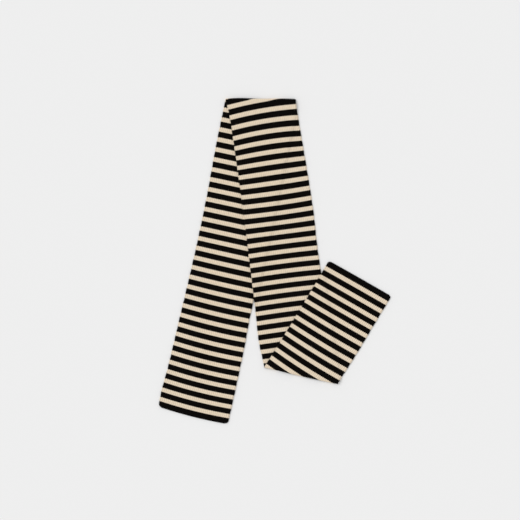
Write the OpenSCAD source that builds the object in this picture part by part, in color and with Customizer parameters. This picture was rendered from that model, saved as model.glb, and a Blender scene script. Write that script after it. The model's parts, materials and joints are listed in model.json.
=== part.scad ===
// Striped rib-knit scarf: a flat two-ply tube, closed at both ends, folded twice and laid on a table.
// Millimetres. +Z is up and the table is the plane z = 0. The long span runs away from the viewer
// along +Y, the middle span comes back over it from the top fold, and the turned end lies on the
// middle span from the lower fold. The origin is on the table under the centre of the outline.

/* [Scarf] */
// Width across the flat scarf
scarf_w = 146; // [130:1:160]
// Length of one band knitted in a single colour
band_l = 10; // [9:0.25:11]
// Bands from one closed end to the other, dark at both ends
bands = 145; // [141:2:149]
// Thickness of one ply of the tube
ply_t = 1.7; // [1.2:0.1:2.4]
// Radius of the corners at the closed ends
corner_r = 9; // [5:0.5:14]

/* [Folding] */
// Top fold's distance along the scarf from the long span's closed end, in bands
top_fold_at = 65.3; // [63:0.1:67]
// Lower fold's distance along the scarf from the same end, in bands
lower_fold_at = 121.8; // [119:0.1:123]
// Lean of the long span to the right of straight away, in degrees
long_lean = 12.1; // [11:0.1:14]
// Lean of the middle span to the right of straight back, in degrees
middle_lean = 8.2; // [6:0.1:9]
// Lean of the turned end to the right of straight away, in degrees
turned_lean = 32; // [28:0.1:34]
// Air between two spans that lie on each other
layer_gap = 0.4; // [0.3:0.1:0.8]
// Run of the slope where a span steps down off the edge of the one below it
step_run = 9; // [7:0.5:10]

/* [Yarn colours] */
// Colour of the dark yarn
black_yarn = "#1b1b1d"; // ["#1b1b1d", "#23262e", "#3a2f2a"]
// Colour of the light yarn
beige_yarn = "#d7c4ab"; // ["#d7c4ab", "#e6dccb", "#b9b4ad"]

/* [Hidden] */
$fn = 48;

BLACK = 0; // bands are counted from the long span's closed end, which is black, so even ones are black
BEIGE = 1;
far = 2000; // past every edge of the scarf
hinge_gap = 0.3; // room at a fold for the moving span's end face to swing past the fixed one
edge_gap = 1; // a stepped span stays level this far past the edge that it crosses
inlay_t = ply_t / 2; // a lower ply's light bands are let into its underside this deep

// Heights: one span is two plies, and a span that lies on another is one level higher
span_t = 2 * ply_t;
level = span_t + layer_gap;
fold_z = span_t + layer_gap / 2; // height of both fold axes, halfway between two stacked spans
roll_r = fold_z; // a fold's outer ply rolls round at this radius, so it just touches the table
roll_l = PI * (roll_r - ply_t / 2); // length of scarf that a fold's outer ply takes up
seam_l = scarf_w - 2 * corner_r;

// Directions in plan, in degrees from +X. A fold mirrors the scarf in its own line, so each fold
// line halves the angle between the two spans that it joins.
long_dir = 90 - long_lean;
middle_dir = middle_lean - 90;
turned_dir = 90 - turned_lean;
top_fold_dir = (long_dir + middle_dir) / 2;
lower_fold_dir = (middle_dir + turned_dir) / 2;
top_fold_half = scarf_w / 2 / sin(long_dir - top_fold_dir);
lower_fold_half = scarf_w / 2 / sin(turned_dir - lower_fold_dir);

// Lengths along the scarf, counted from the long span's closed end: where each fold is outermost,
// and where the flat spans begin and end beside the rolls
scarf_l = bands * band_l;
top_fold_s = top_fold_at * band_l;
lower_fold_s = lower_fold_at * band_l;
long_to_s = top_fold_s - roll_l / 2;
middle_from_s = top_fold_s + roll_l / 2;
middle_to_s = lower_fold_s - roll_l / 2;
turned_from_s = lower_fold_s + roll_l / 2;

function dir(a) = [cos(a), sin(a)];
function on_span(start, a, s, v) = start + s * dir(a) + v * dir(a + 90);

// The scarf is laid out from [0, 0] first, to find its outline's centre
top_mid_0 = long_to_s * dir(long_dir);
middle_flat = (middle_to_s - middle_from_s) * dir(middle_dir);
turned_start_0 = top_mid_0 + middle_flat - turned_from_s * dir(turned_dir);
corner_v = scarf_w / 2 - corner_r;
x_low = on_span([0, 0], long_dir, corner_r, corner_v)[0] - corner_r;
y_low = on_span([0, 0], long_dir, corner_r, -corner_v)[1] - corner_r;
x_high = on_span(turned_start_0, turned_dir, scarf_l - corner_r, -corner_v)[0] + corner_r;
y_high = (top_mid_0 - top_fold_half * dir(top_fold_dir) + roll_r * dir(top_fold_dir + 90))[1];

// Where length 0 would be on each span's own centre line, and the middle of each fold line
long_start = -[x_low + x_high, y_low + y_high] / 2;
top_mid = long_start + top_mid_0;
middle_start = top_mid - middle_from_s * dir(middle_dir);
lower_mid = top_mid + middle_flat;
turned_start = long_start + turned_start_0;

// The bands that each span has at least a corner of, because the fold lines cross bands at a slant
top_reach = top_fold_half * cos(long_dir - top_fold_dir);
lower_reach = lower_fold_half * cos(turned_dir - lower_fold_dir);
function first_band(s) = floor(s / band_l);
function last_band(s) = ceil(s / band_l) - 1;
long_range = [0 : last_band(long_to_s + top_reach)];
middle_range = [first_band(middle_from_s - top_reach) : last_band(middle_to_s + lower_reach)];
turned_range = [first_band(turned_from_s - lower_reach) : bands - 1];

// Plan shapes, each drawn along +X with length 0 at the origin
module rounded_strip(from_s, to_s) {
    translate([from_s + corner_r, -scarf_w / 2]) square([to_s - from_s - 2 * corner_r, scarf_w]);
    translate([from_s, -corner_v]) square([to_s - from_s, 2 * corner_v]);
    for (s = [from_s + corner_r, to_s - corner_r], v = [-corner_v, corner_v])
        translate([s, v]) circle(corner_r);
}

module band(i) {
    translate([i * band_l, -scarf_w]) square([band_l, 2 * scarf_w]);
}

// The half of the plan on one side of a fold line: side 1 is away from the viewer, -1 is nearer
module half_plan(mid, fold_dir, side, gap) {
    translate(mid) rotate(fold_dir) translate([-far / 2, side > 0 ? gap : -far - gap]) square(far);
}

module on(start, a) {
    translate(start) rotate(a) children();
}

// Outlines of the three spans. A closed end is rounded and gives up a slot to its seam.
module long_outline() {
    intersection() {
        on(long_start, long_dir) difference() {
            rounded_strip(0, scarf_l);
            translate([0, -seam_l / 2]) square([span_t, seam_l]);
        }
        half_plan(top_mid, top_fold_dir, -1, 0);
    }
}

module middle_outline() {
    intersection() {
        on(middle_start, middle_dir) rounded_strip(0, scarf_l);
        half_plan(top_mid, top_fold_dir, -1, hinge_gap);
        half_plan(lower_mid, lower_fold_dir, 1, 0);
    }
}

module turned_outline() {
    intersection() {
        on(turned_start, turned_dir) difference() {
            rounded_strip(0, scarf_l);
            translate([scarf_l - span_t, -seam_l / 2]) square([span_t, seam_l]);
        }
        half_plan(lower_mid, lower_fold_dir, 1, hinge_gap);
    }
}

// A sheet that lies on the span below it and slopes down to the table past that span's edge, which
// runs along Y through the origin with the span below on the -X side
module stepped_sheet(z, thick) {
    foot = edge_gap + step_run;
    rotate([90, 0, 0]) linear_extrude(far, center = true) polygon([
        [-far, level + z], [edge_gap, level + z], [foot, z], [far, z],
        [far, z + thick], [foot, z + thick], [edge_gap, level + z + thick], [-far, level + z + thick]
    ]);
}

module long_sheet(z, thick) {
    translate([0, 0, z]) linear_extrude(thick) long_outline();
}

module middle_sheet(z, thick) {
    intersection() {
        on(on_span(long_start, long_dir, 0, -scarf_w / 2), long_dir - 90) stepped_sheet(z, thick);
        linear_extrude(2 * level) middle_outline();
    }
}

module turned_sheet(z, thick) {
    intersection() {
        on(on_span(middle_start, middle_dir, lower_fold_s, scarf_w / 2), middle_dir + 90) stepped_sheet(z, thick);
        linear_extrude(2 * level) turned_outline();
    }
}

// The bands of one yarn in the sheet that is given as a child
module bands_of(yarn, range, start, a) {
    for (i = range) if (i % 2 == yarn)
        intersection() {
            children();
            on(start, a) linear_extrude(2 * level) band(i);
        }
}

// Spans: each upper ply is separate bands, touching edge to edge. Each lower ply is one dark sheet
// with its light bands let into the underside.
module long_upper_bands(yarn) {
    bands_of(yarn, long_range, long_start, long_dir) long_sheet(ply_t, ply_t);
}

module middle_upper_bands(yarn) {
    bands_of(yarn, middle_range, middle_start, middle_dir) middle_sheet(ply_t, ply_t);
}

module turned_upper_bands(yarn) {
    bands_of(yarn, turned_range, turned_start, turned_dir) turned_sheet(ply_t, ply_t);
}

module long_inlay() {
    bands_of(BEIGE, long_range, long_start, long_dir) long_sheet(0, inlay_t);
}

module middle_inlay() {
    bands_of(BEIGE, middle_range, middle_start, middle_dir) middle_sheet(0, inlay_t);
}

module turned_inlay() {
    bands_of(BEIGE, turned_range, turned_start, turned_dir) turned_sheet(0, inlay_t);
}

module long_upper_black_bands() {
    color(black_yarn) long_upper_bands(BLACK);
}

module long_upper_beige_bands() {
    color(beige_yarn) long_upper_bands(BEIGE);
}

module long_lower_ply() {
    color(black_yarn) difference() {
        long_sheet(0, ply_t);
        long_inlay();
    }
}

module long_lower_beige_bands() {
    color(beige_yarn) long_inlay();
}

module middle_upper_black_bands() {
    color(black_yarn) middle_upper_bands(BLACK);
}

module middle_upper_beige_bands() {
    color(beige_yarn) middle_upper_bands(BEIGE);
}

module middle_lower_ply() {
    color(black_yarn) difference() {
        middle_sheet(0, ply_t);
        middle_inlay();
    }
}

module middle_lower_beige_bands() {
    color(beige_yarn) middle_inlay();
}

module turned_upper_black_bands() {
    color(black_yarn) turned_upper_bands(BLACK);
}

module turned_upper_beige_bands() {
    color(beige_yarn) turned_upper_bands(BEIGE);
}

module turned_lower_ply() {
    color(black_yarn) difference() {
        turned_sheet(0, ply_t);
        turned_inlay();
    }
}

module turned_lower_beige_bands() {
    color(beige_yarn) turned_inlay();
}

// Folds: each ply rolls half-way round the fold's axis, in pieces that change colour where a band
// boundary crosses the fold line. side is 1 where the roll bulges away from the viewer.
module half_ring(inner_r, side) {
    intersection() {
        difference() {
            circle(inner_r + ply_t);
            circle(inner_r);
        }
        translate([side > 0 ? 0 : -far, -far / 2]) square(far);
    }
}

module fold_bands_of(yarn, mid, fold_dir, half, span_dir, mid_s, inner_r, side) {
    slant = cos(span_dir - fold_dir);
    reach = half * slant;
    translate([mid[0], mid[1], fold_z]) rotate(fold_dir)
        for (i = [floor((mid_s - reach) / band_l) : ceil((mid_s + reach) / band_l) - 1]) if (i % 2 == yarn) {
            from_u = max(-half, (i * band_l - mid_s) / slant);
            to_u = min(half, ((i + 1) * band_l - mid_s) / slant);
            translate([from_u, 0, 0]) rotate([90, 0, 90]) linear_extrude(to_u - from_u) half_ring(inner_r, side);
        }
}

module top_fold_bands_of(yarn, inner_r) {
    fold_bands_of(yarn, top_mid, top_fold_dir, top_fold_half, long_dir, top_fold_s, inner_r, 1);
}

module lower_fold_bands_of(yarn, inner_r) {
    fold_bands_of(yarn, lower_mid, lower_fold_dir, lower_fold_half, middle_dir, lower_fold_s, inner_r, -1);
}

module top_fold_outer_black() {
    color(black_yarn) top_fold_bands_of(BLACK, roll_r - ply_t);
}

module top_fold_outer_beige() {
    color(beige_yarn) top_fold_bands_of(BEIGE, roll_r - ply_t);
}

module top_fold_inner_black() {
    color(black_yarn) top_fold_bands_of(BLACK, layer_gap / 2);
}

module top_fold_inner_beige() {
    color(beige_yarn) top_fold_bands_of(BEIGE, layer_gap / 2);
}

module lower_fold_outer_black() {
    color(black_yarn) lower_fold_bands_of(BLACK, roll_r - ply_t);
}

module lower_fold_outer_beige() {
    color(beige_yarn) lower_fold_bands_of(BEIGE, roll_r - ply_t);
}

module lower_fold_inner_black() {
    color(black_yarn) lower_fold_bands_of(BLACK, layer_gap / 2);
}

module lower_fold_inner_beige() {
    color(beige_yarn) lower_fold_bands_of(BEIGE, layer_gap / 2);
}

// Seams: a round cord of black yarn closes the mouth of the tube at each end
module seam_at(start, a, s) {
    translate(on_span(start, a, s, 0)) rotate(a) translate([0, 0, ply_t]) rotate([90, 0, 0])
        cylinder(r = ply_t, h = seam_l, center = true);
}

module long_end_seam() {
    color(black_yarn) seam_at(long_start, long_dir, ply_t);
}

module turned_end_seam() {
    color(black_yarn) seam_at(turned_start, turned_dir, scarf_l - ply_t);
}

long_upper_black_bands();
long_upper_beige_bands();
long_lower_ply();
long_lower_beige_bands();
top_fold_outer_black();
top_fold_outer_beige();
top_fold_inner_black();
top_fold_inner_beige();
middle_upper_black_bands();
middle_upper_beige_bands();
middle_lower_ply();
middle_lower_beige_bands();
lower_fold_outer_black();
lower_fold_outer_beige();
lower_fold_inner_black();
lower_fold_inner_beige();
turned_upper_black_bands();
turned_upper_beige_bands();
turned_lower_ply();
turned_lower_beige_bands();
long_end_seam();
turned_end_seam();
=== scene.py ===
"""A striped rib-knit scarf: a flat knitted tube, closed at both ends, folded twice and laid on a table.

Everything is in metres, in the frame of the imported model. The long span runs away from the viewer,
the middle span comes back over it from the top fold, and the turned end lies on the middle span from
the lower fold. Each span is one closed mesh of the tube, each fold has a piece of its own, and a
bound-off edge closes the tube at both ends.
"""

import json
import math

import bpy
import numpy as np
from bpy.props import FloatProperty, FloatVectorProperty, IntProperty, PointerProperty
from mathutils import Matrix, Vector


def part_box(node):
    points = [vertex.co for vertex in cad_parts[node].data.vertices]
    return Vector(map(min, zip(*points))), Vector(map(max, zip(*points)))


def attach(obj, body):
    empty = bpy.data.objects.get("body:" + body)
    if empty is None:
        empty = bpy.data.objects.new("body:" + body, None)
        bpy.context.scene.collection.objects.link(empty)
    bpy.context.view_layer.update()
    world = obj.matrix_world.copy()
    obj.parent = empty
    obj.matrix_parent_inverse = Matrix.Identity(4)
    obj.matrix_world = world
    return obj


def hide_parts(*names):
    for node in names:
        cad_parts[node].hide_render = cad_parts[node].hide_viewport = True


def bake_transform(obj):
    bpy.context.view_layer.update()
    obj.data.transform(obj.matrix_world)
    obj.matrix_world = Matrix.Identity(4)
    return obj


bl_info = {
    "name": "Striped rib-knit scarf",
    "version": (1, 0, 0),
    "blender": (4, 5, 0),
    "location": "View3D > Sidebar > Scarf",
    "description": "Knits a striped scarf over its packed frame, folded twice and laid flat",
    "category": "Object",
}

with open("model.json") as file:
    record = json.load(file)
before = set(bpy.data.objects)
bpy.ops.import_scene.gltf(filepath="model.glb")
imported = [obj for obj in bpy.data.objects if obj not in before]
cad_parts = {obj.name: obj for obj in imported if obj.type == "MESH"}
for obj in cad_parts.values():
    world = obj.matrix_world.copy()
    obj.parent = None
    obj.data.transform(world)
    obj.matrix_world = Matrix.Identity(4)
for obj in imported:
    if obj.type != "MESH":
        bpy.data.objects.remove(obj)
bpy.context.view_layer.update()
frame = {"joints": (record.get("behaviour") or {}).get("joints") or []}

MM = 0.001
SCARF_WIDTH = 146 * MM
UV_MAP = "Knit"  # u is the length along the scarf, v the way round the tube, both in metres
POINTS_PER_RIB = 6
END_OVERHANG = 0.7 * MM  # how far the long span's closed edge stands out past its end in the frame
CLOSING_LENGTH = 8 * MM  # where the rings stand closer, because the tube thins to its closed end
SQUARING_LENGTH = 120 * MM  # over which the rings turn from square to in line with a fold or an end
FOLD_GAP = 0.05 * MM  # kept at a fold line by both spans, so that they clear each other lying open
SIDE_POINTS = 5  # between the two flat faces, round each side edge of the tube


def linear(hex_colour):
    """An sRGB hex colour as the linear values that Blender works in."""
    parts = [int(hex_colour[i : i + 2], 16) / 255 for i in (1, 3, 5)]
    return tuple(c / 12.92 if c <= 0.04045 else ((c + 0.055) / 1.055) ** 2.4 for c in parts)


def fold_joint(name):
    """A fold's middle point, and its line's direction in plan, towards the right."""
    found = next(j for j in frame["joints"] if j["name"] == name)
    line = np.array(found["axis"][:2])
    line = line / np.linalg.norm(line)
    return np.array(found["pos_m"]), line if line[0] > 0 else -line


def seam_middle(node):
    low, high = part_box(node)
    return np.array((low + high) / 2)


def mirrored(direction, line):
    """A fold mirrors the scarf in its own line."""
    return 2 * direction.dot(line) * line - direction


TOP_MID, TOP_LINE = fold_joint("top_fold")
LOW_MID, LOW_LINE = fold_joint("lower_fold")
LONG_SEAM = seam_middle("long_end_seam")
TURNED_SEAM = seam_middle("turned_end_seam")
THICKNESS = 2 * LONG_SEAM[2]  # of one span, which is two plies
LEVEL = 2 * TOP_MID[2] - THICKNESS  # how much higher a span lies on another
SEAM_RADIUS = LONG_SEAM[2]
LONG_LENGTH = np.linalg.norm((TOP_MID - LONG_SEAM)[:2]) + SEAM_RADIUS
MIDDLE_LENGTH = np.linalg.norm((LOW_MID - TOP_MID)[:2])
TURNED_LENGTH = np.linalg.norm((TURNED_SEAM - LOW_MID)[:2]) + SEAM_RADIUS
ROLL_LENGTH = math.pi * (TOP_MID[2] - THICKNESS / 4)  # scarf that a fold's outer ply takes up
SCARF_LENGTH = LONG_LENGTH + MIDDLE_LENGTH + TURNED_LENGTH + 2 * ROLL_LENGTH


class ScarfSizes(bpy.types.PropertyGroup):
    """Sizes of the knitting and of how it lies."""

    band_length: FloatProperty(
        name="Band length",
        description="Length of one band of a single colour",
        default=10 * MM,
        min=5 * MM,
        max=20 * MM,
        unit="LENGTH",
    )
    ribs: IntProperty(
        name="Ribs",
        description="Ribs across one face of the flat tube",
        default=36,
        min=20,
        max=40,
    )
    black_share: FloatProperty(
        name="Black share",
        description="How much of a black band and a beige band together is black",
        default=0.575,
        min=0.4,
        max=0.6,
    )
    rib_depth: FloatProperty(
        name="Rib depth",
        description="How deep the grooves between the ribs are",
        default=0.5 * MM,
        min=0.1 * MM,
        max=0.8 * MM,
        unit="LENGTH",
    )
    course_height: FloatProperty(
        name="Course height",
        description="Height of one row of stitches",
        default=1.25 * MM,
        min=0.5 * MM,
        max=3 * MM,
        unit="LENGTH",
    )
    side_rounding: FloatProperty(
        name="Side rounding",
        description="How far in from its side edge the tube starts to thin",
        default=2.2 * MM,
        min=1 * MM,
        max=4 * MM,
        unit="LENGTH",
    )
    row_spacing: FloatProperty(
        name="Row spacing",
        description="Distance between two rows of the mesh",
        default=3.4 * MM,
        min=3 * MM,
        max=20 * MM,
        unit="LENGTH",
    )
    step_run: FloatProperty(
        name="Step run",
        description="Run of the slope where a span comes down off the edge of the one below it",
        default=10 * MM,
        min=6 * MM,
        max=20 * MM,
        unit="LENGTH",
    )


class ScarfColours(bpy.types.PropertyGroup):
    """Colours of the yarns and of the table."""

    black_yarn: FloatVectorProperty(
        name="Black yarn",
        description="Colour of the dark bands and of both bound-off edges",
        subtype="COLOR",
        default=linear("#050302"),
        min=0,
        max=1,
    )
    beige_yarn: FloatVectorProperty(
        name="Beige yarn",
        description="Colour of the light bands",
        subtype="COLOR",
        default=linear("#e4d3bb"),
        min=0,
        max=1,
    )
    table: FloatVectorProperty(
        name="Table",
        description="Colour of the plain table",
        subtype="COLOR",
        default=linear("#e2e2e2"),
        min=0,
        max=1,
    )


# ---------------------------------------------------------------- shape of the spans


def curve(knots, x):
    """A smooth curve through a few (place, value) knots, level past both ends."""
    at, value = np.array(knots, float).T
    slope = np.gradient(value, at)
    x = np.clip(x, at[0], at[-1])
    i = np.clip(np.searchsorted(at, x) - 1, 0, len(at) - 2)
    gap = at[i + 1] - at[i]
    t = (x - at[i]) / gap
    rise = t * t * (3 - 2 * t)
    leaving = t * (1 - t) ** 2 * gap * slope[i]
    arriving = t * t * (1 - t) * gap * slope[i + 1]
    return value[i] * (1 - rise) + value[i + 1] * rise + leaving - arriving


def ease(x):
    """0 below 0, 1 above 1, and smooth between."""
    x = np.clip(x, 0, 1)
    return x * x * (3 - 2 * x)


class Span:
    """One flat stretch of the scarf. Places in the knots are millimetres from where the span starts.

    left and right are half widths. slip is how far the bands sit ahead of even spacing, lead how
    much further ahead they are at the right edge than in the middle, and bow how much further ahead
    they are at both edges. start_line and end_line are the directions of the folds that the span
    meets, and an end without one is closed. below is the span that this one lies on.
    """

    def __init__(self, name, origin, along, length, first_s, **knots):
        self.name = name
        self.origin = origin
        self.along = along
        self.side = np.array([along[1], -along[0]])
        if self.side[0] < 0:
            self.side = -self.side
        self.length = length
        self.first_s = first_s
        self.start_line = knots.pop("start_line", None)
        self.end_line = knots.pop("end_line", None)
        self.corner = knots.pop("corner", 0)
        self.below = knots.pop("below", None)
        self.knots = knots

    def knot(self, name, a):
        return curve(self.knots[name], a / MM) * MM

    def halves(self, a):
        """Half width to the left and to the right, with the small waver of a knitted edge."""
        calm = 0.25 * MM * ease(a / 0.03) * ease((self.length - a) / 0.03)
        left_waver = np.sin(a * 210 + self.length) + 0.6 * np.sin(a * 433 + 1.3)
        right_waver = np.sin(a * 190 + 2 * self.length) + 0.6 * np.sin(a * 387 + 2.9)
        return self.knot("left", a) + calm * left_waver, self.knot("right", a) + calm * right_waver

    def band_lead(self, a, v):
        """How far the bands at v sit ahead of those on the centre line."""
        x = v / (SCARF_WIDTH / 2)
        return self.knot("lead", a) * x + self.knot("bow", a) * x * x

    def scarf_length(self, a, v):
        """Length along the scarf of the stitches that lie at (a, v)."""
        length = self.first_s + a - self.knot("slip", a) - self.band_lead(a, v)
        inside = 0.4 * MM  # keeps both closed edges in the first and the last black band
        return np.clip(length, inside, SCARF_LENGTH - inside)

    def plan(self, a, v):
        return self.origin + a[..., None] * self.along + v[..., None] * self.side

    def lift(self, place, step_run):
        """Height of the span's underside: on the span below it, and down on the table past its edge."""
        if self.below is None:
            return np.zeros(place.shape[:-1])
        below = self.below
        away = place - below.origin
        past_edge = away @ below.side - below.knot("right", away @ below.along)
        level_run = 0.6 * MM  # the span stays level this far past the edge, then slopes down
        return LEVEL * (1 - ease((past_edge - level_run) / step_run))


def across_line(span_along, span_side, line):
    """How far along a span a fold line runs for each metre across it."""
    return line.dot(span_along) / line.dot(span_side)


def make_spans():
    middle_along = (LOW_MID - TOP_MID)[:2] / MIDDLE_LENGTH
    long_along = mirrored(middle_along, TOP_LINE)
    turned_along = mirrored(middle_along, LOW_LINE)
    long_span = Span(
        "long_span",
        TOP_MID[:2] - LONG_LENGTH * long_along,
        long_along,
        LONG_LENGTH,
        0.0,
        end_line=TOP_LINE,
        corner=6 * MM,
        left=[(0, 73.5), (30, 74), (80, 71.5), (180, 69.2), (355, 66.3), (455, 67.3), (530, 69.8), (649, 71)],
        right=[(0, 70.8), (100, 71.3), (160, 71), (220, 69.3), (300, 70.5), (649, 69)],
        slip=[(0, 0.4), (100, -2.8), (200, -4.1), (300, -3.2), (500, -0.6), (600, 1.4), (649, 2.2)],
        lead=[(0, -2.5), (110, -2.4), (400, 0), (649, 0)],
        bow=[(0, 2.9), (110, 2.8), (400, 0), (649, 0)],
    )
    middle_span = Span(
        "middle_span",
        TOP_MID[:2],
        middle_along,
        MIDDLE_LENGTH,
        LONG_LENGTH + ROLL_LENGTH,
        start_line=TOP_LINE,
        end_line=LOW_LINE,
        below=long_span,
        left=[(0, 70.8), (20, 68), (70, 66.7), (150, 66.7), (280, 68.5), (400, 71), (500, 73.4), (556, 70)],
        right=[(0, 69), (60, 69.8), (150, 71.8), (240, 72.6), (300, 70.5), (400, 71), (556, 73)],
        slip=[(0, 0.3), (45, 3.6), (130, 7.7), (210, 10.2), (290, 8.4), (370, 6.8), (450, 4), (556, 0.5)],
        lead=[(0, -2.2), (90, -0.9), (170, 0), (290, 1.1), (556, 0.8)],
        bow=[(0, 3.4), (90, 3.3), (130, 1), (210, -1.5), (290, 0.7), (556, 0.4)],
    )
    turned_end = Span(
        "turned_end",
        LOW_MID[:2],
        turned_along,
        TURNED_LENGTH,
        LONG_LENGTH + MIDDLE_LENGTH + 2 * ROLL_LENGTH,
        start_line=LOW_LINE,
        corner=4 * MM,
        below=middle_span,
        left=[(0, 70), (20, 70.2), (60, 70.2), (150, 71.5), (228, 73.2)],
        right=[(0, 73), (60, 73.7), (110, 73.6), (160, 72.5), (228, 71.6)],
        slip=[(0, 2.5), (80, 1.9), (140, 1), (190, -0.9), (228, -1.1)],
        lead=[(0, -1), (200, 3), (228, 3)],
        bow=[(0, 2.4), (200, -0.2), (228, -0.4)],
    )
    return long_span, middle_span, turned_end


# ---------------------------------------------------------------- mesh of the tube


class Columns:
    """The points round the tube: left to right over the top face, round the right side, back under
    the lower face, and round the left side. Both faces have their grooves at the same places."""

    def __init__(self, ribs):
        flat = ribs * POINTS_PER_RIB
        turn = math.pi * np.arange(1, SIDE_POINTS + 1) / (SIDE_POINTS + 1)
        step = np.arange(flat + 1)
        level = np.ones(flat + 1)
        none = np.zeros(SIDE_POINTS)
        groove = 0.5 + 0.5 * np.cos(2 * math.pi * step / POINTS_PER_RIB)
        self.flat = flat
        self.count = 2 * (flat + 1 + SIDE_POINTS)
        self.across = np.concatenate([2 * step / flat - 1, none + 1, 1 - 2 * step / flat, none - 1])
        self.bulge = np.concatenate([0 * level, np.sin(turn), 0 * level, -np.sin(turn)])
        self.height = np.concatenate([level, np.cos(turn), -level, -np.cos(turn)])
        self.groove = np.concatenate([groove, none, groove, none])
        side = np.arange(1, SIDE_POINTS + 1) / (SIDE_POINTS + 1)
        top_ribs = step / POINTS_PER_RIB
        self.rib = np.concatenate([top_ribs, ribs + side, ribs + 1 + top_ribs, 2 * ribs + 1 + side])
        self.all_ribs = 2 * ribs + 2


def tube_mesh(name, columns, points, scarf_length, pitch, outward):
    """A closed mesh from rings of points. Its UV map has the scarf's length and the way round."""
    rows, count = points.shape[:2]
    faces = []
    corners = []
    for row in range(rows - 1):
        for k in range(count):
            after = (k + 1) % count
            face = [(row, k), (row, after), (row + 1, after), (row + 1, k)]
            faces.append(face if outward else face[::-1])
            corners.append(k)
    cap_faces = []
    right = [columns.flat + j for j in range(SIDE_POINTS + 2)]
    left = [2 * columns.flat + 1 + SIDE_POINTS + j for j in range(SIDE_POINTS + 1)] + [0]
    for k in range(columns.flat):
        under = 2 * columns.flat + 1 + SIDE_POINTS - k
        cap_faces.append([k, k + 1, under - 1, under])
    for row, first in ((0, True), (rows - 1, False)):
        for face in [*cap_faces, right, left]:
            ordered = face[::-1] if first else face
            faces.append([(row, k) for k in (ordered if outward else ordered[::-1])])
            corners.append(None)
    mesh = bpy.data.meshes.new(name)
    mesh.from_pydata(points.reshape(-1, 3).tolist(), [], [[r * count + k for r, k in f] for f in faces])
    uv = []
    for face, first in zip(faces, corners):
        for row, k in face:
            wrapped = first == count - 1 and k == 0
            uv += [scarf_length[row, k], (columns.all_ribs if wrapped else columns.rib[k]) * pitch]
    mesh.uv_layers.new(name=UV_MAP).data.foreach_set("uv", np.array(uv, np.float32))
    mesh.validate()
    return mesh


def add_piece(name, mesh, material):
    """Links a finished mesh as an object, and smooths it except over its cut edges."""
    mesh.materials.append(material)
    piece = bpy.data.objects.new(name, mesh)
    bpy.context.scene.collection.objects.link(piece)
    bpy.ops.object.select_all(action="DESELECT")
    piece.select_set(True)
    bpy.context.view_layer.objects.active = piece
    bpy.ops.object.shade_smooth_by_angle(angle=math.radians(55))
    piece.select_set(False)
    return piece


def row_places(span, spacing):
    """Where the rings of a span are: evenly spaced, and closer where the tube thins to a closed end."""
    closing = np.array([0, 0.35, 0.9, 1.7, 2.7, 4.0, 5.8]) * MM
    from_a = CLOSING_LENGTH if span.start_line is None else FOLD_GAP
    to_a = span.length - (CLOSING_LENGTH if span.end_line is None else FOLD_GAP)
    even = np.linspace(from_a, to_a, int((to_a - from_a) / spacing) + 1)
    first = closing if span.start_line is None else []
    last = span.length - closing[::-1] if span.end_line is None else []
    return np.concatenate([first, even, last])


def span_points(span, columns, sizes):
    """The rings of a span, and the scarf length at each point."""
    a = np.repeat(row_places(span, sizes.row_spacing)[:, None], columns.count, 1)
    left, right = span.halves(a)
    middle, half = (right - left) / 2, (right + left) / 2
    v = middle + columns.across * (half - sizes.side_rounding) + columns.bulge * sizes.side_rounding

    from_end = np.full_like(a, 1.0)
    if span.start_line is None:
        from_end = a
    if span.end_line is None:
        from_end = span.length - a
    # The corners of a closed end are round: the outer 30 mm of each side is drawn in
    near = np.minimum(from_end, span.corner)
    pull = span.corner - np.sqrt(np.maximum(span.corner**2 - (span.corner - near) ** 2, 0))
    drawn_in = 30 * MM
    outer = np.clip((np.abs(v - middle) - half + drawn_in) / drawn_in, 0, 1)
    v = v - np.sign(v - middle) * pull * outer

    ramp = min(SQUARING_LENGTH, span.length / 2)
    starting = ease(1 - a / ramp)
    ending = ease(1 - (span.length - a) / ramp)
    if span.start_line is None:
        a = a + starting * (span.band_lead(0 * a, v) - END_OVERHANG)
    else:
        a = a + starting * across_line(span.along, span.side, span.start_line) * v
    if span.end_line is None:
        a = a + ending * span.band_lead(0 * a + span.length, v)
    else:
        a = a + ending * across_line(span.along, span.side, span.end_line) * v

    # The tube thins over its last 2.6 mm. The ribs are cut into both faces, with a faint unevenness.
    thin = 2.6 * MM
    closed = 1 - np.minimum(from_end, thin) / thin
    fullness = 0.3 + 0.7 * np.sqrt(np.maximum(1 - closed**2, 0))
    soft = 0.5 + 0.5 * np.sin(a * 63 + 2 * span.length) * np.cos(v * 71 + a * 17)
    relief = columns.groove * sizes.rib_depth + 0.15 * MM * soft
    place = span.plan(a, v)
    up = columns.height * (THICKNESS / 2 * fullness - relief * np.abs(columns.height) * fullness)
    z = span.lift(place, sizes.step_run) + THICKNESS / 2 + up
    return np.concatenate([place, z[..., None]], -1), span.scarf_length(a, v)


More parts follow.
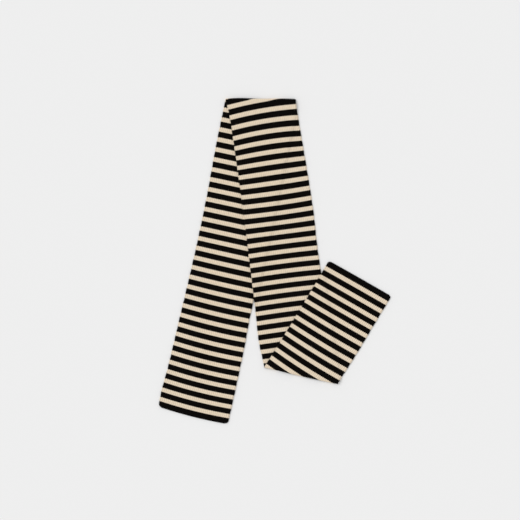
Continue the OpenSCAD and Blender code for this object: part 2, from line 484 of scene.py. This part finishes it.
def roll_points(before, after, mid, line, reach, columns, sizes):
    """The rings of a fold, from the face that leaves the lower span, out and up to the upper one.
    reach is how far the fold stands out past its hinge, along the fold line."""
    outward = np.array([-line[1], line[0]])
    if outward.dot(before.along) < 0:
        outward = -outward
    angles = np.radians(np.linspace(-90, 90, 15))[:, None]
    left, right = after.halves(np.zeros(1))
    middle, half = (right - left) / 2, (right + left) / 2
    v = middle + columns.across * (half - sizes.side_rounding) + columns.bulge * sizes.side_rounding
    along_fold = v / line.dot(after.side)
    relief = columns.groove * sizes.rib_depth * np.abs(columns.height)
    outer = mid[2]
    inner = mid[2] - THICKNESS
    radius = (outer + inner) / 2 + columns.height * (THICKNESS / 2 - relief)
    stretch = 1 + (curve(reach, along_fold / MM) * MM / outer - 1) * (radius / outer)
    y = radius * stretch * np.cos(angles)
    z = mid[2] + radius * np.sin(angles)
    u = np.broadcast_to(along_fold, y.shape)
    place = mid[:2] + u[..., None] * line + y[..., None] * outward
    left_at = before.scarf_length(before.length + across_line(before.along, before.side, line) * v, v)
    met_at = after.scarf_length(across_line(after.along, after.side, line) * v, v)
    share = (np.degrees(angles) + 90) / 180
    return np.concatenate([place, z[..., None]], -1), left_at * (1 - share) + met_at * share


# ---------------------------------------------------------------- materials


def add_node(tree, kind, inputs=(), **settings):
    """Adds a node, with its settings, and with a constant or a link in each of the given inputs."""
    node = tree.nodes.new(kind)
    for name, value in settings.items():
        setattr(node, name, value)
    for name, value in dict(inputs).items():
        if isinstance(value, bpy.types.NodeSocket):
            tree.links.new(value, node.inputs[name])
        else:
            node.inputs[name].default_value = value
    return node


def new_material(name):
    """An empty material with its output node."""
    material = bpy.data.materials.new(name)
    material.use_nodes = True
    material.node_tree.nodes.clear()
    return material, material.node_tree


def rib_knit_cotton(sizes, colours, pitch):
    """Soft-spun cotton, machine knitted in a fine rib: matt, with rows of slanting stitches that make
    a V on every rib, shaded grooves between the ribs, and a thin fuzz of loose fibres."""
    material, tree = new_material("rib_knit_cotton")
    uv = add_node(tree, "ShaderNodeUVMap", uv_map=UV_MAP).outputs["UV"]
    parts = add_node(tree, "ShaderNodeSeparateXYZ", {0: uv})
    length, way_round = parts.outputs["X"], parts.outputs["Y"]

    # 0 in the groove between two ribs, 1 on a rib's crest
    ribs = add_node(tree, "ShaderNodeMath", {0: way_round, 1: 1 / pitch}, operation="MULTIPLY")
    half_crest = add_node(tree, "ShaderNodeMath", {0: ribs.outputs[0], 1: 0.5}, operation="PINGPONG")
    crest = add_node(tree, "ShaderNodeMath", {0: half_crest.outputs[0], 1: 2.0}, operation="MULTIPLY")
    aside = add_node(tree, "ShaderNodeMath", {0: 1.0, 1: crest.outputs[0]}, operation="SUBTRACT")

    # A row of stitches lies nearly one course further back in the groove than on the crest
    rows = add_node(tree, "ShaderNodeMath", {0: length, 1: 1 / sizes.course_height}, operation="MULTIPLY")
    slant = add_node(
        tree,
        "ShaderNodeMath",
        {0: aside.outputs[0], 1: 0.9, 2: rows.outputs[0]},
        operation="MULTIPLY_ADD",
    )
    turn = add_node(tree, "ShaderNodeMath", {0: slant.outputs[0], 1: math.pi}, operation="MULTIPLY")
    wave = add_node(tree, "ShaderNodeMath", {0: turn.outputs[0]}, operation="SINE")
    leg = add_node(tree, "ShaderNodeMath", {0: wave.outputs[0]}, operation="ABSOLUTE")
    cleft = add_node(
        tree,
        "ShaderNodeMapRange",
        {"Value": aside.outputs[0], "From Min": 0.0, "From Max": 0.22, "To Min": 0.3, "To Max": 1.0},
        interpolation_type="SMOOTHSTEP",
    )
    stitch = add_node(tree, "ShaderNodeMath", {0: leg.outputs[0], 1: cleft.outputs[0]}, operation="MULTIPLY")

    # Fibres are about 0.2 mm apart, and the yarn is a little uneven every 5 mm
    fibres = add_node(
        tree,
        "ShaderNodeTexNoise",
        {"Vector": uv, "Scale": 1 / (0.4 * MM), "Detail": 3.0, "Roughness": 0.6},
    )
    uneven = add_node(
        tree,
        "ShaderNodeTexNoise",
        {"Vector": uv, "Scale": 1 / (5 * MM), "Detail": 2.0, "Roughness": 0.5},
    )

    # Bands change colour in line with a row of stitches, so their edges follow the stitches. Half of
    # what the black bands are fuller by goes before their start, less the mean slant of a row.
    courses_per_pair = 2 * sizes.band_length / sizes.course_height
    early = (sizes.black_share - 0.5) * courses_per_pair / 2 - 0.45
    centred = add_node(tree, "ShaderNodeMath", {0: slant.outputs[0], 1: early}, operation="ADD")
    pairs = add_node(
        tree,
        "ShaderNodeMath",
        {0: centred.outputs[0], 1: 1 / courses_per_pair},
        operation="MULTIPLY",
    )
    in_pair = add_node(tree, "ShaderNodeMath", {0: pairs.outputs[0]}, operation="FRACT")
    is_beige = add_node(
        tree,
        "ShaderNodeMath",
        {0: in_pair.outputs[0], 1: sizes.black_share},
        operation="GREATER_THAN",
    )
    yarn = add_node(
        tree,
        "ShaderNodeMix",
        {0: is_beige.outputs[0], 6: (*colours.black_yarn, 1), 7: (*colours.beige_yarn, 1)},
        data_type="RGBA",
    )

    # Painted shade: the colour is darkened in the grooves and between the stitches, where light is lost, with
    # a faint painted highlight on the stitches' legs. The 5 mm unevenness is the yarn's own tone.
    groove_shade = add_node(
        tree,
        "ShaderNodeMapRange",
        {"Value": crest.outputs[0], "From Min": 0.0, "From Max": 0.7, "To Min": 0.74, "To Max": 1.0},
        interpolation_type="SMOOTHSTEP",
    )
    stitch_shade = add_node(
        tree,
        "ShaderNodeMapRange",
        {"Value": stitch.outputs[0], "From Min": 0.0, "From Max": 1.0, "To Min": 0.9, "To Max": 1.06},
    )
    uneven_shade = add_node(
        tree,
        "ShaderNodeMapRange",
        {"Value": uneven.outputs[0], "From Min": 0.3, "From Max": 0.7, "To Min": 0.95, "To Max": 1.05},
    )
    knit_shade = add_node(
        tree,
        "ShaderNodeMath",
        {0: groove_shade.outputs[0], 1: stitch_shade.outputs[0]},
        operation="MULTIPLY",
    )
    shade = add_node(
        tree,
        "ShaderNodeMath",
        {0: knit_shade.outputs[0], 1: uneven_shade.outputs[0]},
        operation="MULTIPLY",
    )
    colour = add_node(
        tree,
        "ShaderNodeVectorMath",
        {0: yarn.outputs[2], 3: shade.outputs[0]},
        operation="SCALE",
    )

    # Heights in metres: a strand stands up 0.22 mm, and its fuzz 0.05 mm
    fuzz = add_node(tree, "ShaderNodeMath", {0: fibres.outputs[0], 1: 0.05 * MM}, operation="MULTIPLY")
    height = add_node(
        tree,
        "ShaderNodeMath",
        {0: stitch.outputs[0], 1: 0.22 * MM, 2: fuzz.outputs[0]},
        operation="MULTIPLY_ADD",
    )
    bump = add_node(
        tree,
        "ShaderNodeBump",
        {"Height": height.outputs[0], "Strength": 1.0, "Distance": 1.0},
    )
    roughness = add_node(
        tree,
        "ShaderNodeMapRange",
        {"Value": fibres.outputs[0], "From Min": 0.0, "From Max": 1.0, "To Min": 0.86, "To Max": 0.98},
    )
    shader = add_node(
        tree,
        "ShaderNodeBsdfPrincipled",
        {
            "Base Color": colour.outputs[0],
            "Roughness": roughness.outputs[0],
            "IOR": 1.53,
            "Specular IOR Level": 0.05,
            "Sheen Weight": 0.02,
            "Sheen Roughness": 0.5,
            "Normal": bump.outputs[0],
        },
    )
    add_node(tree, "ShaderNodeOutputMaterial", {"Surface": shader.outputs[0]})
    return material


def plied_binding_yarn(colours):
    """The black yarn again, in two plies: matt, with its fibres winding round each ply."""
    material, tree = new_material("plied_binding_yarn")
    uv = add_node(tree, "ShaderNodeUVMap", uv_map=UV_MAP).outputs["UV"]
    # The fibres lie at a slant of about 1 in 2, and are 0.25 mm apart. A wave texture of scale 1
    # repeats about every 0.3.
    turned = add_node(tree, "ShaderNodeMapping", {0: uv, 2: (0.0, 0.0, math.radians(27))})
    lines = add_node(
        tree,
        "ShaderNodeTexWave",
        {0: turned.outputs[0], "Scale": 0.3 / (0.25 * MM), "Distortion": 1.5, "Detail": 2.0},
        wave_type="BANDS",
    )
    depth = add_node(tree, "ShaderNodeMath", {0: lines.outputs[1], 1: 0.06 * MM}, operation="MULTIPLY")
    bump = add_node(
        tree,
        "ShaderNodeBump",
        {"Height": depth.outputs[0], "Strength": 1.0, "Distance": 1.0},
    )
    # Painted shade: following the fibre lines of the bump, the colour is darker between the fibres and a
    # little lighter on them.
    shade = add_node(
        tree,
        "ShaderNodeMapRange",
        {"Value": lines.outputs[1], "From Min": 0.0, "From Max": 1.0, "To Min": 0.7, "To Max": 1.1},
    )
    colour = add_node(
        tree,
        "ShaderNodeVectorMath",
        {0: tuple(colours.black_yarn), 3: shade.outputs[0]},
        operation="SCALE",
    )
    shader = add_node(
        tree,
        "ShaderNodeBsdfPrincipled",
        {
            "Base Color": colour.outputs[0],
            "Roughness": 0.92,
            "IOR": 1.53,
            "Specular IOR Level": 0.05,
            "Sheen Weight": 0.02,
            "Sheen Roughness": 0.5,
            "Normal": bump.outputs[0],
        },
    )
    add_node(tree, "ShaderNodeOutputMaterial", {"Surface": shader.outputs[0]})
    return material


def matt_table_top(colours):
    """A table top painted matt: even and pale, with no gloss, so it shows only the faintest shadow."""
    material, tree = new_material("matt_table_top")
    shader = add_node(
        tree,
        "ShaderNodeBsdfPrincipled",
        {"Base Color": (*colours.table, 1), "Roughness": 1.0, "Specular IOR Level": 0.0},
    )
    add_node(tree, "ShaderNodeOutputMaterial", {"Surface": shader.outputs[0]})
    return material


def rib_pitch(sizes):
    """Distance from one rib to the next across the scarf's full width."""
    return SCARF_WIDTH / sizes.ribs


def knit_material(context):
    """The knit's material, made once and shared by all the pieces of the tube."""
    found = bpy.data.materials.get("rib_knit_cotton")
    scene = context.scene
    return found or rib_knit_cotton(scene.scarf_sizes, scene.scarf_colours, rib_pitch(scene.scarf_sizes))


# ---------------------------------------------------------------- operators


class SCARF_OT_spans(bpy.types.Operator):
    """Knits the three flat spans of the tube"""

    bl_idname = "scarf.spans"
    bl_label = "Knit the spans"

    def execute(self, context):
        sizes = context.scene.scarf_sizes
        columns = Columns(sizes.ribs)
        below = []
        for span in make_spans():
            points, lengths = span_points(span, columns, sizes)
            outward = np.cross(span.side, span.along) > 0
            mesh = tube_mesh(span.name, columns, points, lengths, rib_pitch(sizes), outward)
            piece = add_piece(f"{span.name}_knit", mesh, knit_material(context))
            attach(piece, span.name)
            part = span.name.split("_")[0]
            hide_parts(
                f"{part}_upper_black_bands",
                f"{part}_upper_beige_bands",
                f"{part}_lower_ply",
                f"{part}_lower_beige_bands",
            )
        return {"FINISHED"}


class SCARF_OT_folds(bpy.types.Operator):
    """Rolls the tube round its two folds"""

    bl_idname = "scarf.folds"
    bl_label = "Roll the folds"

    def execute(self, context):
        sizes = context.scene.scarf_sizes
        columns = Columns(sizes.ribs)
        long_span, middle_span, turned_end = make_spans()
        top_reach = [(-71, 3), (-45, 5.4), (0, 5.6), (50, 7.8), (72, 7.4)]
        lower_reach = [(-76, 0.8), (-45, 1.2), (-20, 2.4), (0, 2.8), (40, 3.3), (76, 3.2)]
        # Both rolls are made alike: the last entry of each fold makes no difference.
        folds = (
            ("top_fold", long_span, middle_span, TOP_MID, TOP_LINE, top_reach, False),
            ("lower_fold", middle_span, turned_end, LOW_MID, LOW_LINE, lower_reach, True),
        )
        for name, before, after, mid, line, reach, reverse in folds:
            points, lengths = roll_points(before, after, mid, line, reach, columns, sizes)
            outward = np.cross(after.side, after.along) > 0
            mesh = tube_mesh(name, columns, points, lengths, rib_pitch(sizes), outward)
            piece = add_piece(f"{name}_knit", mesh, knit_material(context))
            if reverse:
                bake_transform(piece)
            else:
                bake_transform(piece)
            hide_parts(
                f"{name}_outer_black",
                f"{name}_outer_beige",
                f"{name}_inner_black",
                f"{name}_inner_beige",
            )
        return {"FINISHED"}


class SCARF_OT_bound_edges(bpy.types.Operator):
    """Binds off the tube's two closed ends with a two-ply edge"""

    bl_idname = "scarf.bound_edges"
    bl_label = "Bind off the ends"

    def execute(self, context):
        sizes = context.scene.scarf_sizes
        long_span, _, turned_end = make_spans()
        material = plied_binding_yarn(context.scene.scarf_colours)
        for span, at_start, node in (
            (long_span, True, "long_end_seam"),
            (turned_end, False, "turned_end_seam"),
        ):
            mesh = bound_edge_mesh(node, span, at_start, sizes)
            piece = add_piece(f"{node}_edge", mesh, material)
            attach(piece, span.name)
            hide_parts(node)
        return {"FINISHED"}


def bound_edge_mesh(name, span, at_start, sizes):
    """Two strands wound round each other along a closed end, one turn for each rib."""
    radius = 0.62 * MM  # of one strand
    wound_at = 0.6 * MM  # from the middle of the edge to the middle of a strand
    inset = 0.2 * MM
    sides = 8
    end = 0.0 if at_start else span.length
    left, right = span.halves(np.array([end]))
    half = (left + right)[0] / 2 - span.corner
    middle = (right - left)[0] / 2
    steps = int(2 * half / (0.5 * MM))
    v = middle + np.linspace(-half, half, steps + 1)
    lead = span.band_lead(np.full_like(v, end), v)
    a = end + lead - (END_OVERHANG if at_start else 0.0)
    into = span.along if at_start else -span.along
    centre = np.concatenate([span.plan(a, v) + into * inset, np.zeros((steps + 1, 1))], 1)
    centre[:, 2] = span.lift(centre[:, :2], sizes.step_run) + THICKNESS / 2
    forward = np.gradient(centre, axis=0)
    forward /= np.linalg.norm(forward, axis=1)[:, None]
    up = np.array([0.0, 0.0, 1.0])
    level = np.cross(up, forward)
    level /= np.linalg.norm(level, axis=1)[:, None]
    upright = np.cross(forward, level)
    verts, faces, uv = [], [], []
    for strand in (0.0, math.pi):
        wind = 2 * math.pi * v / rib_pitch(sizes) + strand
        path = centre + wound_at * (np.cos(wind)[:, None] * level + np.sin(wind)[:, None] * upright)
        base = len(verts)
        for i in range(steps + 1):
            narrow = min(1.0, 0.35 + 0.4 * min(i, steps - i))
            for j in range(sides):
                angle = 2 * math.pi * j / sides
                out = math.cos(angle) * level[i] + math.sin(angle) * upright[i]
                verts.append(path[i] + radius * narrow * out)
        for i in range(steps):
            for j in range(sides):
                after = (j + 1) % sides
                here, there = base + i * sides, base + (i + 1) * sides
                faces.append([here + j, here + after, there + after, there + j])
                round_by = 2 * math.pi * radius / sides
                uv += [v[i], j * round_by, v[i], (j + 1) * round_by]
                uv += [v[i + 1], (j + 1) * round_by, v[i + 1], j * round_by]
        for ring, order in ((0, range(sides - 1, -1, -1)), (steps, range(sides))):
            faces.append([base + ring * sides + j for j in order])
            for j in order:
                uv += [v[ring], j * radius]
    mesh = bpy.data.meshes.new(name)
    mesh.from_pydata([tuple(p) for p in verts], [], faces)
    mesh.uv_layers.new(name=UV_MAP).data.foreach_set("uv", np.array(uv, np.float32))
    mesh.validate()
    return mesh


class SCARF_OT_declare(bpy.types.Operator):
    """Takes no step: it returns at once, and declares no piece."""

    bl_idname = "scarf.declare"
    bl_label = "Declare the knitted sheets"

    def execute(self, context):
        return {"FINISHED"}


class SCARF_OT_stage(bpy.types.Operator):
    """Sets a pale table under the scarf, soft light over it, and a camera straight above"""

    bl_idname = "scarf.stage"
    bl_label = "Set the stage"

    def execute(self, context):
        scene = context.scene
        bpy.ops.object.select_all(action="DESELECT")
        bpy.ops.mesh.primitive_plane_add(size=12.0, location=(0.0, 0.0, 0.0))
        table = context.active_object
        table.name = "table_top"
        table.data.materials.append(matt_table_top(scene.scarf_colours))

        # An even dome and a wide, soft sun. A level pure white sheet under both would read 1.13, a
        # little past what shows as white.
        brightness = 1.13
        sun_share = 0.3
        sun_tilt = math.radians(38)
        world = bpy.data.worlds.new("even_dome")
        world.use_nodes = True
        world.node_tree.nodes.clear()
        dome = add_node(
            world.node_tree,
            "ShaderNodeBackground",
            {"Color": (1.0, 1.0, 1.0, 1.0), "Strength": brightness * (1 - sun_share)},
        )
        add_node(world.node_tree, "ShaderNodeOutputWorld", {"Surface": dome.outputs[0]})
        scene.world = world
        bpy.ops.object.light_add(type="SUN", rotation=(sun_tilt, 0.0, math.radians(-125)))
        sun = context.active_object
        sun.name = "soft_sun"
        sun.data.energy = math.pi * brightness * sun_share / math.cos(sun_tilt)
        sun.data.angle = math.radians(35)

        # The camera looks straight down with a long lens, and sees 1.048 m of the table
        distance = 3.0
        seen = 1.048
        bpy.ops.object.camera_add(location=(-0.0286, 0.0012, distance), rotation=(0.0, 0.0, 0.0))
        camera = context.active_object
        camera.name = "camera_above"
        camera.data.sensor_width = 36.0
        camera.data.lens = camera.data.sensor_width * distance / seen
        scene.camera = camera
        scene.view_settings.view_transform = "Standard"
        return {"FINISHED"}


class SCARF_PT_panel(bpy.types.Panel):
    """Lists the sizes, the colours and the steps of the scarf"""

    bl_idname = "SCARF_PT_panel"
    bl_label = "Scarf"
    bl_space_type = "VIEW_3D"
    bl_region_type = "UI"
    bl_category = "Scarf"

    def draw(self, context):
        for group in (context.scene.scarf_sizes, context.scene.scarf_colours):
            for name in group.__annotations__:
                self.layout.prop(group, name)
        for step in STEPS:
            self.layout.operator(step.bl_idname)


STEPS = (
    SCARF_OT_stage,
    SCARF_OT_spans,
    SCARF_OT_folds,
    SCARF_OT_bound_edges,
    SCARF_OT_declare,
)
CLASSES = (ScarfSizes, ScarfColours, *STEPS, SCARF_PT_panel)


def register():
    for cls in CLASSES:
        bpy.utils.register_class(cls)
    bpy.types.Scene.scarf_sizes = PointerProperty(type=ScarfSizes)
    bpy.types.Scene.scarf_colours = PointerProperty(type=ScarfColours)


def unregister():
    del bpy.types.Scene.scarf_colours
    del bpy.types.Scene.scarf_sizes
    for cls in reversed(CLASSES):
        bpy.utils.unregister_class(cls)


def main():
    register()
    bpy.ops.scarf.stage()
    bpy.ops.scarf.spans()
    bpy.ops.scarf.folds()
    bpy.ops.scarf.bound_edges()
    bpy.ops.scarf.declare()


if __name__ == "__main__":
    main()
